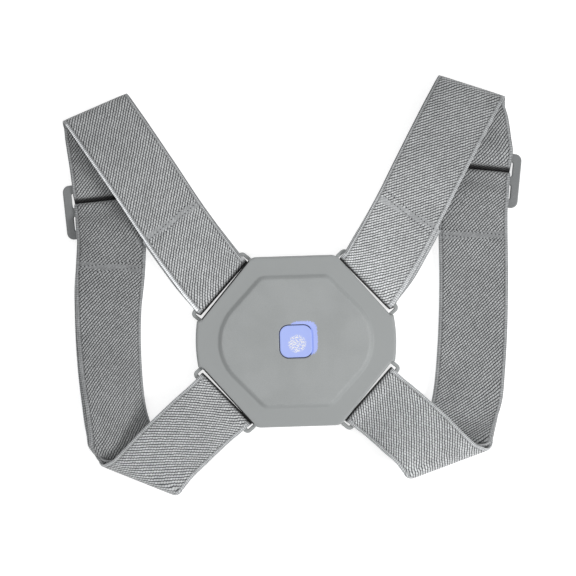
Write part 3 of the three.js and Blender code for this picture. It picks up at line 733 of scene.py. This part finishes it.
lowerFrontRows = [
    {"along": 0.2, "aside": 0.02, "height": 3, "turn": 0.1, "part": 2.2},
    {"along": 0.5, "aside": 0.025, "height": 2.6, "turn": 0.45, "part": 1.9},
    {"along": 0.78, "aside": 0.015, "height": 0.2, "turn": 0.85, "part": 2.9},
    {"along": 0.93, "height": -0.7, "turn": 1, "part": 4.9},
]
# through the slider: share of the slot, then share of the rise, or layers over the bar
slotRamp = [(0.18, 0.01), (0.4, 0.13), (0.6, 0.42), (0.75, 0.77)]
sewnOverRamp = [(1.3, 2), (1.12, 2), (0.76, 1.94), (0.35, 1.05), (0, 0.1), (-0.3, 0)]
sewnUnderRamp = [
    (-0.07, 0), (0.16, 0.08), (0.34, 0.33), (0.52, 0.65), (0.76, 0.92), (0.93, 1), (1.3, 1),
]
# painted light and shade on the webbing, as how light it is: front at the fold and at the device, back run
# above the slider, in the slider's slots (painted shadow), outer layer behind, lower front, inner layer,
# sewn end in front; then the two edges in front as shares of the front (painted highlight or shade), and the
# bend round a strap bar (painted shadow)
paintedShading = {
    "left": {
        "fold": 0.76, "front": 1.01, "upperBack": 0.7, "slot": 0.05, "outer": 0.92, "lowerFront": 1.02,
        "inner": 0.62, "tail": 1.1, "innerEdge": 0.6, "outerEdge": 2.4, "wrap": 0.05,
    },
    "right": {
        "fold": 0.7, "front": 1.28, "upperBack": 0.78, "slot": 0.05, "outer": 0.92, "lowerFront": 1.1,
        "inner": 0.7, "tail": 1.1, "innerEdge": 0.6, "outerEdge": 1.1, "wrap": 0.05,
    },
}


class Station:
    # a place on the webbing's middle line, and the line across it from the inner edge outwards
    def __init__(self, place, ruling, part=0.0, half=None, tone=1.0):
        self.place, self.ruling, self.part, self.half, self.tone = place, ruling, part, half, tone
        self.edges = (1.0, 1.0)
        self.spread = 1.0
        self.facing = None


def across(turn, tilt=0):
    a, b = math.radians(turn), math.radians(tilt)
    return Vector((-math.cos(a) * math.cos(b), -math.sin(a) * math.cos(b), math.sin(b)))


def squareTo(ruling, ySign):
    # the direction along the ground that is square to the ruling, with its y of the given sign
    away = Vector((ruling.y, -ruling.x, 0))
    return -away if away.y * ySign < 0 else away


def onCurve(points, k, w, tension=None):
    # a Catmull-Rom curve between points k and k + 1; centripetal unless a tension is given
    p1, p2 = points[k], points[k + 1]
    p0 = points[k - 1] if k > 0 else p1 * 2 - p2
    p3 = points[k + 2] if k + 2 < len(points) else p2 * 2 - p1
    if tension is None:
        d0, d1, d2 = (max((b - a).length, 1e-4) ** 0.5 for a, b in ((p0, p1), (p1, p2), (p2, p3)))
        t1 = ((p1 - p0) / d0 - (p2 - p0) / (d0 + d1) + (p2 - p1) / d1) * d1
        t2 = ((p2 - p1) / d1 - (p3 - p1) / (d1 + d2) + (p3 - p2) / d2) * d1
    else:
        t1, t2 = (p2 - p0) * tension, (p3 - p1) * tension
    return p1 + t1 * w + (p2 * 3 - p1 * 3 - t1 * 2 - t2) * w ** 2 + (p1 * 2 - p2 * 2 + t1 + t2) * w ** 3


def smoothRun(stations, step):
    places = [s.place for s in stations]
    rulings = [s.ruling for s in stations]
    run = [stations[0]]
    for k in range(len(stations) - 1):
        count = max(1, round((places[k + 1] - places[k]).length / step))
        for j in range(1, count + 1):
            w = j / count
            run.append(Station(
                onCurve(places, k, w), onCurve(rulings, k, w, 0.3).normalized(),
                lerp(stations[k].part, stations[k + 1].part, smoothShare(w)),
                None, lerp(stations[k].tone, stations[k + 1].tone, w)))
    return run


def withFrames(stations):
    # (station, travel, normal, half width) for each station
    framed = []
    for k, s in enumerate(stations):
        before, after = stations[max(k - 1, 0)], stations[min(k + 1, len(stations) - 1)]
        travel = (after.place - before.place).normalized()
        crossed = travel.cross(s.ruling)
        half = s.half
        if half is None:
            half = webbing["width"] / 2 * s.spread / max(crossed.length, 0.5)
        framed.append((s, travel, s.facing or crossed.normalized(), half))
    return framed


def innerLayer(stations, distance=None, tone=None):
    # the layer inside the given stations, walked the other way
    layer = []
    for s, travel, normal, half in withFrames(stations):
        gap = s.part if distance is None else distance(s)
        layer.append(Station(s.place - normal * gap, s.ruling, 0, half, s.tone if tone is None else tone))
        layer[-1].facing = -normal
    return layer[::-1]


def slip(travel, ruling):
    share = travel.normalized().dot(ruling)
    return share / math.sqrt(1 - share * share)


def roundTurn(middle, away, ruling, radius, start, end, steps, part=0.0, slide=0.0, tone=1.0):
    turn = []
    for k in range(steps + 1):
        angle = math.radians(lerp(start, end, k / steps))
        place = (middle + away * (radius * math.cos(angle)) + up * (radius * math.sin(angle))
                 + ruling * (slide * radius * angle * (1 if end > start else -1)))
        turn.append(Station(place, ruling.copy(), part, None, tone))
    return turn


def betweenRows(rows, start, end, startTurn, endTurn, bow=1, fullBank=0, tone=1.0):
    way = end.place - start.place
    outwards = Vector((way.y, -way.x, 0)).normalized()
    if outwards.x > 0:
        outwards.negate()
    found = []
    for row in rows:
        aside = row.get("aside", 0) * bow * webbing["width"]
        place = start.place + way * row["along"] + outwards * aside + up * row.get("height", 0)
        rise = row.get("tilt", 0) + row.get("bank", 0) * fullBank
        if "offGround" in row:
            place.z = onGround + row["offGround"] + webbing["width"] / 2 * math.sin(math.radians(rise))
        ruling = across(lerp(startTurn, endTurn, row["turn"]), rise)
        found.append(Station(place, ruling, row.get("part", 0), None, tone))
    return found


def barPlace(sy):
    slotMiddle, along, normal = strapBar(-1, sy)
    middle = slotMiddle + normal * (bars["slotOpening"] + bars["barWidth"] / 2)
    along3 = along.to_3d()
    place = Vector((middle.x, middle.y, bars["barMiddle"])) - along3 * webbing["webShift"]
    outer = along3 if along3.x < 0 else -along3
    turn = math.degrees(math.atan2(-outer.y, -outer.x))
    return place, outer, turn, normal.to_3d()


halfSlider = sliders["thickness"] / 2
halfWeb = webbing["thickness"] / 2
bareOver = sliderMiddle + halfSlider + halfWeb + webbing["bendPlay"]
bareUnder = sliderMiddle - halfSlider - halfWeb - webbing["bendPlay"]
onGround = webbing["floorGap"] + halfWeb
wrapRadius = math.hypot(bars["barWidth"], bars["barHeight"]) / 2 + halfWeb + webbing["bendPlay"]


def adjustingRoute():
    inner, slotLength = sliders["bar"] / 2, sliders["slot"]
    outer, overhang = sliderReach, sliders["overhang"]
    rise = bareOver - onGround
    ramp = [(inner + share * slotLength, onGround + height * rise) for share, height in slotRamp]
    half = [(outer + overhang, bareOver), (outer - inner, bareOver), (outer - 2 * inner - 0.4, bareOver)]
    half += ramp[::-1] + [(inner, onGround)]
    return half + [(0, onGround)] + [(-v, z) for v, z in half[::-1]]


def sewnRoute():
    inner, slotLength = sliders["bar"] / 2, sliders["slot"]
    radius = (bareOver - bareUnder) / 2
    end = -sliderReach - sliders["overhang"]
    route = [(end, bareOver + 2 * seamLayer - 0.1)]
    route += [(-inner - share * slotLength, bareOver + layers * seamLayer) for share, layers in sewnOverRamp]
    for k in range(13):
        angle = math.radians(90 - 15 * k)
        route.append((inner - 0.6 + radius * math.cos(angle), sliderMiddle + radius * math.sin(angle)))
    route += [(-inner - share * slotLength, lerp(bareUnder, bareOver + seamLayer, height))
              for share, height in sewnUnderRamp]
    return route + [(end, bareOver + seamLayer - 0.1)]


def settleWrap(wrap, towards, light, dark):
    # from the top of a bar down its side: dark in the slot's shadow, and looser at the inner edge
    for k, s in enumerate(wrap):
        share = (webbing["wrapLight"] - k / (len(wrap) - 1)) / webbing["wrapFade"]
        s.tone = lerp(dark, light, smoothShare(share))
        s.spread = webbing["barSpread"]
        loose = math.sin(math.pi * k / (len(wrap) - 1))
        s.place += towards * (webbing["wrapLoose"] * loose)
        lean = webbing["wrapLean"] * loose / (webbing["width"] / 2)
        s.ruling = (s.ruling - towards * lean).normalized()


def layWebbing(loop, shades):
    upperPlace, upperOuter, upperTurn, upperOutwards = barPlace(1)
    lowerPlace, lowerOuter, lowerTurn, lowerOutwards = barPlace(-1)
    top, bottom = loop["topFold"], loop["bottomFold"]

    def flat(vector):
        return Vector((vector.x, vector.y, 0))

    topRuling = across(top["turn"])
    topAway = squareTo(topRuling, 1)
    topMiddle = (Vector((-top["out"], top["up"], top["lift"] + top["radius"] + halfWeb))
                 - topAway * (top["radius"] + halfWeb))
    leaving = flat(topMiddle - upperPlace)
    topTurn = roundTurn(topMiddle, topAway, topRuling, top["radius"], 75, -75, 22,
                        slide=slip(leaving, topRuling))
    upperWrap = roundTurn(upperPlace, -upperOutwards, upperOuter, wrapRadius, -80, 80, 16,
                          slide=webbing["wrapSkew"] * slip(leaving, upperOuter))
    # painted shade darkens the top fold towards the back run
    for k, s in enumerate(topTurn):
        share = k / (len(topTurn) - 1)
        s.ruling.z += top["open"] * 0.5 * (1 - 2 * share)
        s.ruling.normalize()
        s.tone = lerp(shades["fold"], shades["upperBack"], share)
    upperEnd = upperWrap[-1]
    settleWrap(upperWrap[::-1], -upperOutwards, shades["front"], shades["wrap"])
    between = betweenRows(frontRows, upperEnd, topTurn[0], upperTurn, top["turn"])
    # painted shade darkens the front towards the fold
    for s, row in zip(between, frontRows):
        s.tone = lerp(shades["front"], shades["fold"], row["along"])
    front = [upperEnd, *between, topTurn[0]]

    ruling = across(loop["slider"]["turn"])
    along = squareTo(ruling, 1)
    middle = Vector((-loop["slider"]["out"], loop["slider"]["up"], 0))

    def onSlider(route, tone, sunk=None):
        # stations sunk into the slider's slots take the painted slot shadow
        stations = []
        for v, z in route:
            depth = 0 if sunk is None else (bareOver - z) / (bareOver - onGround)
            stations.append(Station(middle + along * v + up * z, ruling.copy(), 0, None,
                                    tone if depth < 0.3 else sunk))
        return stations

    adjust = onSlider(adjustingRoute(), shades["upperBack"], shades["slot"])
    upperBack = betweenRows(upperBackRows, topTurn[-1], adjust[0], top["turn"], loop["slider"]["turn"],
                            tone=shades["upperBack"])
    bottomRuling = across(bottom["turn"])
    bottomAway = squareTo(bottomRuling, -1)
    bottomMiddle = (Vector((-bottom["out"], bottom["up"], bottom["height"]))
                    - bottomAway * (bottom["radius"] + halfWeb))
    arriving = flat(lowerPlace - bottomMiddle)
    bottomTurn = roundTurn(bottomMiddle, bottomAway, bottomRuling, bottom["radius"], -62, 80, 24, 3,
                           slip(arriving, bottomRuling), shades["lowerFront"])
    lowerWrap = roundTurn(lowerPlace, -lowerOutwards, lowerOuter, wrapRadius, 80, -80, 16, 2 * wrapRadius,
                          webbing["wrapSkew"] * slip(arriving, lowerOuter))
    settleWrap(lowerWrap, -lowerOutwards, shades["lowerFront"], shades["wrap"])
    adjust[-1].part = 2 * seamLayer
    lowerBack = betweenRows(lowerBackRows, adjust[-1], bottomTurn[0], loop["slider"]["turn"],
                            bottom["turn"], loop["bow"], loop["bank"], shades["outer"])
    lowerFront = betweenRows(lowerFrontRows, bottomTurn[-1], lowerWrap[0], bottom["turn"], lowerTurn,
                             tone=shades["lowerFront"])
    sewn = onSlider(sewnRoute(), shades["inner"])
    return (upperWrap, front, topTurn, upperBack, adjust, lowerBack, bottomTurn, lowerFront, lowerWrap,
            sewn)


def distances(stations):
    found = [0.0]
    for a, b in zip(stations, stations[1:]):
        found.append(found[-1] + (b.place - a.place).length)
    return found


def stretch(stations, start, end):
    # the stations between two distances along a run, with one set exactly at each end
    down = distances(stations)

    def at(distance):
        k = max(1, next((i for i, d in enumerate(down) if d >= distance), len(down) - 1))
        w = (distance - down[k - 1]) / (down[k] - down[k - 1])
        a, b = stations[k - 1], stations[k]
        return Station(a.place.lerp(b.place, w), a.ruling.lerp(b.ruling, w).normalized(),
                       lerp(a.part, b.part, w), None, lerp(a.tone, b.tone, w))
    inside = [s for s, d in zip(stations, down) if start + 0.5 < d < end - 0.5]
    return [at(start), *inside, at(end)]


def strapPath(loop, shades):
    lay = layWebbing(loop, shades)
    upperWrap, front, topTurn, upperBack, adjust, lowerBack, bottomTurn, lowerFront, lowerWrap, sewn = lay
    front = smoothRun(front, webbing["frontStep"])
    for k, s in enumerate(front):
        # painted highlight and painted shade along the front's two edges
        s.edges = (shades["innerEdge"], shades["outerEdge"])
        s.spread = lerp(webbing["barSpread"], 1.0, min(1, k / webbing["spreadRows"]))
    settle = seams["upper"] * webbing["tailSettles"]
    pastSeam = seams["length"] / 2 + seams["tailPast"]

    def tailGap(s):
        way = (s.place - front[0].place).length / settle
        return lerp(2 * wrapRadius, seamLayer, smoothShare(way))

    tail = innerLayer(stretch(front, 0, seams["upper"] + pastSeam), tailGap, shades["tail"])
    for s in tail:
        way = min((s.place - front[0].place).length / seams["upper"], 1)
        s.place += s.ruling * (loop["tailShift"] * smoothShare(2 * way))
    backRun = smoothRun([topTurn[-1], *upperBack, *adjust], webbing["backStep"])
    outerDown = [adjust[-1], *lowerBack, *bottomTurn, *lowerFront, lowerWrap[0]]
    outerDown = smoothRun(outerDown, webbing["backStep"])
    innerUp = innerLayer(outerDown[1:-1], tone=shades["inner"])
    seamDown = seams["back"] - sliderReach - sliders["overhang"]
    sewnTail = innerLayer(stretch(outerDown, 2, seamDown + pastSeam), lambda s: seamLayer,
                          shades["inner"])
    path = [*tail[:-1], *upperWrap[:-1], *front, *topTurn[1:-1], *backRun, *outerDown[1:], *lowerWrap[1:],
            *innerUp, *smoothRun(sewn, webbing["tailStep"]), *sewnTail[::-1]]
    return path, front, outerDown, seamDown


def section():
    # (across, out of the middle, face) round the webbing: face 1 is its right side, -1 its wrong side
    steps, edgeSteps = webbing["acrossSteps"], webbing["edgeSteps"]
    found = []
    for side in (1, -1):
        for k in range(steps + 1):
            share = side * (1 - 2 * k / steps)
            found.append((share, side, side))
        for k in range(1, edgeSteps):
            angle = math.pi * k / edgeSteps
            found.append((-side, side * math.cos(angle), 0))
    return found


def seamFrame(stations, where):
    # the middle of a seam and the webbing's direction there
    near = stretch(stations, where - 1, where + 1)
    s, travel, normal, half = withFrames(near)[len(near) // 2]
    return s.place, travel, normal


def fromSeam(point, sewnAt):
    # how far the point is from the middle of the nearest seam, along the webbing
    nearest = 12
    for place, travel, normal in sewnAt:
        way = point - place
        if way.length < 30 and abs(way.dot(normal)) < 5:
            nearest = min(nearest, abs(way.dot(travel)))
    return nearest


def evened(values, reach=4):
    # each value becomes the mean of its neighbours, so that the edges run smoothly
    found = []
    for k in range(len(values)):
        near = values[max(0, k - reach):k + reach + 1]
        found.append(sum(near) / len(near))
    return found


def sided(points, mirror):
    return [Vector((p.x * mirror, p.y, p.z)) for p in points]


def strapMesh(name, path, sewnAt, mirror):
    framed = withFrames(path)
    halves = evened([half for s, travel, normal, half in framed])
    slants = evened([travel.dot(s.ruling) for s, travel, normal, half in framed])
    outline = section()
    roundness = halfWeb * (1 - webbing["selvedgeThin"])
    edgeReach = roundness * webbing["edgeReach"]
    points, runs, shade, paintedEdgeLight, seamAway = [], [], [], [], []
    length = 0.0
    for k, (half, slant) in enumerate(zip(halves, slants)):
        s, normal = path[k], framed[k][2]
        if k:
            length += (s.place - path[k - 1].place).length
        flatHalf = half - edgeReach
        for share, out, face in outline:
            sunk = smoothShare((abs(share) - webbing["thinFrom"]) / webbing["thinOver"])
            if face:
                a, b = share * flatHalf, out * halfWeb * (1 - webbing["selvedgeThin"] * sunk)
            else:
                a = math.copysign(flatHalf + edgeReach * math.sqrt(max(0, 1 - out * out)), share)
                b = out * roundness
            points.append(s.place + s.ruling * a + normal * b)
            shade.append(s.tone)
            paintedEdgeLight.append(s.edges[1 if a > 0 else 0])
            seamAway.append(fromSeam(points[-1], sewnAt))
            # unrolled flat, so that lines keep their slant where the webbing is skewed
            aside = a / half * webbing["width"] / 2 * s.spread * (face or 1)
            runs.append((aside, length + a * slant))
    size = len(outline)
    faces = []
    for k in range(len(framed) - 1):
        for j in range(size):
            here, after = k * size + j, k * size + (j + 1) % size
            faces.append((here, after, after + size, here + size))
    faces.append(tuple(range(size - 1, -1, -1)))
    faces.append(tuple((len(framed) - 1) * size + j for j in range(size)))
    mesh = newMesh(name, sided(points, mirror), faces)
    faceOutwards(mesh)
    uv = mesh.uv_layers.new(name="web")
    # seen from outside either face, the pattern has the same slant on both arms
    flip = -mirror
    for polygon in mesh.polygons:
        for loopIndex in polygon.loop_indices:
            vertex = mesh.loops[loopIndex].vertex_index
            u, v = runs[vertex]
            uv.data[loopIndex].uv = (u * mm * flip, v * mm)
    for key, values in (("tone", shade), ("paintedEdgeLight", paintedEdgeLight), ("seamAway", seamAway)):
        mesh.attributes.new(key, "FLOAT", "POINT").data.foreach_set("value", values)
    return mesh


# The seams
stitching = {"threadLength": 1.45, "threadThick": 0.5, "holeSize": 0.86, "holeThick": 0.7}


def stitchTree():
    # dashes along the rows of a seam, each turned along its row
    tree = bpy.data.node_groups.new("seamStitches", "GeometryNodeTree")
    face = tree.interface
    face.new_socket(name="Geometry", in_out="INPUT", socket_type="NodeSocketGeometry")
    sockets = {}
    for name, kind in (("Pitch", "Float"), ("Length", "Float"), ("Thickness", "Float"), ("Odd", "Int"),
                       ("Thread", "Material")):
        socket = face.new_socket(name=name, in_out="INPUT", socket_type="NodeSocket" + kind)
        sockets[name] = socket.identifier
    face.new_socket(name="Geometry", in_out="OUTPUT", socket_type="NodeSocketGeometry")

    def add(kind, inputs=None, **settings):
        return newNode(tree, kind, inputs, **settings).outputs

    given = add("NodeGroupInput")
    line = add("GeometryNodeMeshToCurve", {0: given["Geometry"]})
    halfPitch = add("ShaderNodeMath", {0: given["Pitch"], 1: 2}, operation="DIVIDE")
    spread = add("GeometryNodeResampleCurve", {"Curve": line[0], "Length": halfPitch[0]}, mode="LENGTH")
    # every other place on a row is a stitch, and the ones between are dark beads, painted shade for the
    # needle holes
    index = add("GeometryNodeInputIndex")
    odd = add("ShaderNodeMath", {0: index[0], 1: 2}, operation="MODULO")
    chosen = add("FunctionNodeCompare", {0: odd[0], 1: given["Odd"], "Epsilon": 0.1},
                 data_type="FLOAT", operation="EQUAL")
    tangent = add("GeometryNodeInputTangent")
    turn = add("FunctionNodeAlignRotationToVector", {"Vector": tangent[0]}, axis="X")
    size = add("ShaderNodeCombineXYZ", {0: given["Length"], 1: given["Thickness"], 2: given["Thickness"]})
    bead = add("GeometryNodeMeshUVSphere", {"Segments": 8, "Rings": 6, "Radius": 0.5})
    sewn = add("GeometryNodeInstanceOnPoints", {
        "Points": spread[0], "Selection": chosen[0], "Instance": bead[0], "Rotation": turn[0],
        "Scale": size[0],
    })
    real = add("GeometryNodeRealizeInstances", {0: sewn[0]})
    paint = add("GeometryNodeSetMaterial", {"Geometry": real[0], "Material": given["Thread"]})
    add("NodeGroupOutput", {0: paint[0]})
    return tree, sockets


stitchNodes, stitchSockets = stitchTree()


def seamRows(front, outerDown, seamDown, mirror):
    # the lines that the stitches follow, on the faces of the webbing that show them
    rows = []
    reach = webbing["width"] / 2 - seams["inset"]
    for stations, where, depths in (
            (front, seams["upper"], (-halfWeb, seamLayer + halfWeb)),
            (outerDown, seamDown, (None,))):
        for shift in (-seams["apart"] / 2, seams["apart"] / 2):
            near = stretch(stations, where + shift - 1, where + shift + 1)
            s, travel, normal, half = withFrames(near)[len(near) // 2]
            for depth in depths:
                drop = normal * ((s.part + halfWeb if depth is None else depth) + 0.02)
                rows.append([s.place + s.ruling * (reach * share / 8) - drop for share in range(-8, 9)])
    return [sided(row, mirror) for row in rows]


def sewnPiece(name, rows, odd, length, thick, material):
    edges, start = [], 0
    for row in rows:
        edges += [(start + k, start + k + 1) for k in range(len(row) - 1)]
        start += len(row)
    lines = bpy.data.meshes.new(name + "_lines")
    lines.from_pydata([p * mm for row in rows for p in row], edges, [])
    holder = placed(name + "_lines", lines)
    modifier = holder.modifiers.new("stitches", "NODES")
    modifier.node_group = stitchNodes
    for key, value in (("Pitch", seams["pitch"] * mm), ("Length", length * mm),
                       ("Thickness", thick * mm), ("Odd", odd), ("Thread", material)):
        modifier[stitchSockets[key]] = value
    bpy.context.view_layer.update()
    mesh = settled(holder)
    mesh.name = name
    return newPiece(name, mesh, material, "harness", sharp=180)


for arm, loop in loops.items():
    path, front, outerDown, seamDown = strapPath(loop, paintedShading[arm])
    sewnAt = [seamFrame(front, seams["upper"]), seamFrame(outerDown, seamDown)]
    mesh = strapMesh(f"{arm}_webbing", path, sewnAt, loop["mirror"])
    strap = newPiece(f"{arm}_webbing", mesh, webbingLook, "harness", [f"{arm}_strap"], sharp=60)
    rows = seamRows(front, outerDown, seamDown, loop["mirror"])
    sewnPiece(f"{arm}_stitches", rows, 0, stitching["threadLength"], stitching["threadThick"],
              threadLook)
    holeSize = stitching["holeSize"]
    sewnPiece(f"{arm}_needle_holes", rows, 1, holeSize, holeSize * stitching["holeThick"], holeShadowLook)
    print(arm, "webbing made:", len(strap.data.polygons), "faces")


# Floor, light and camera
studio = {
    "floorSize": 3.0, "floorColour": (196, 196, 196), "floorGlow": 0.7, "world": 0.42,
    "lights": [
        # name, place, size, power
        ("key", (0.8, -0.35, 0.8), 0.5, 7.5),
        ("fill", (-0.7, 0.5, 1.1), 1.0, 1.6),
        ("top", (0.0, 0.1, 1.5), 1.2, 3.2),
    ],
}
camera = {"place": (-3.70, 31.44, 1150), "turn": -1.8, "lens": 121.2, "sensor": 36}


def makeStage():
    half = studio["floorSize"] / 2
    mesh = bpy.data.meshes.new("floor")
    corners = ((-half, -half), (half, -half), (half, half), (-half, half))
    mesh.from_pydata([(x, y, 0) for x, y in corners], [], [(0, 1, 2, 3)])
    r = Recipe("pale_floor")
    r.put("Base Color", linear(*studio["floorColour"]))
    r.put("Emission Color", (1, 1, 1, 1))
    r.put("Emission Strength", studio["floorGlow"])
    r.put("Roughness", 0.9)
    mesh.materials.append(r.material)
    floor = placed("floor", mesh)
    world = bpy.data.worlds.new("studio")
    world.use_nodes = True
    world.node_tree.nodes["Background"].inputs[0].default_value = (1, 1, 1, 1)
    world.node_tree.nodes["Background"].inputs[1].default_value = studio["world"]
    scene.world = world
    for name, place, size, power in studio["lights"]:
        light = bpy.data.lights.new(name, "AREA")
        light.shape = "DISK"
        light.size = size
        light.energy = power
        lamp = placed(name, light)
        lamp.location = place
        lamp.rotation_euler = (-Vector(place)).to_track_quat("-Z", "Y").to_euler()


def makeCamera():
    data = bpy.data.cameras.new("camera")
    data.lens = camera["lens"]
    data.sensor_width = camera["sensor"]
    data.clip_start = 0.05
    lookDown = placed("camera", data)
    lookDown.location = Vector(camera["place"]) * mm
    lookDown.rotation_euler = (0, 0, math.radians(camera["turn"]))
    scene.camera = lookDown


makeStage()
makeCamera()
scene.view_settings.view_transform = "Standard"
print("stage and camera made")
